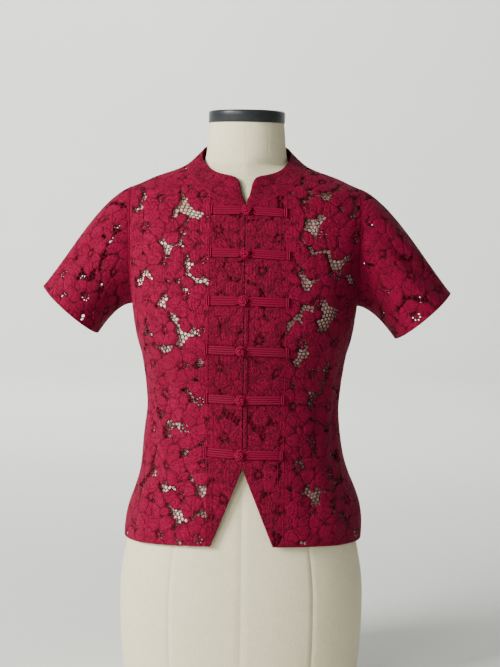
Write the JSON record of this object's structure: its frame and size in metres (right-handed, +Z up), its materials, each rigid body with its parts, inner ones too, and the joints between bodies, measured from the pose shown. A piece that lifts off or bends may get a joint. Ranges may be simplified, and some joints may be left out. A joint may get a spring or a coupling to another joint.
{
  "type": "lace top on dress form",
  "caption": "Short-sleeved floral lace top with a stand collar and knotted frog closures, worn by a limbless linen dress form with a black neck cap.",
  "frame": {"origin": "centre of the dress form's flat underside", "axes": "+Z up through the neck cap, -Y towards the front of the top, +X towards the wearer's left"},
  "size_m": [0.5889, 0.265, 0.8383],
  "materials": {
    "lace": "corded floral lace, soft sheen",
    "trim": "braided cord, soft sheen",
    "linen": "natural linen cover, matte",
    "cap": "glossy black"
  },
  "bodies": {
    "root": {"dress_form": "linen", "neck_cap": "cap", "front_left": "lace", "front_right": "lace", "facing_left": "lace", "facing_right": "lace", "back": "lace", "sleeve_left_front": "lace", "sleeve_left_back": "lace", "sleeve_right_front": "lace", "sleeve_right_back": "lace", "collar": "lace", "frog_1_strap_left": "trim", "frog_1_strap_right": "trim", "frog_1_end_left": "trim", "frog_1_end_right": "trim", "frog_1_knot": "trim", "frog_2_strap_left": "trim", "frog_2_strap_right": "trim", "frog_2_end_left": "trim", "frog_2_end_right": "trim", "frog_2_knot": "trim", "frog_3_strap_left": "trim", "frog_3_strap_right": "trim", "frog_3_end_left": "trim", "frog_3_end_right": "trim", "frog_3_knot": "trim", "frog_4_strap_left": "trim", "frog_4_strap_right": "trim", "frog_4_end_left": "trim", "frog_4_end_right": "trim", "frog_4_knot": "trim", "frog_5_strap_left": "trim", "frog_5_strap_right": "trim", "frog_5_end_left": "trim", "frog_5_end_right": "trim", "frog_5_knot": "trim", "frog_6_strap_left": "trim", "frog_6_strap_right": "trim", "frog_6_end_left": "trim", "frog_6_end_right": "trim", "frog_6_knot": "trim"}
  },
  "joints": []
}
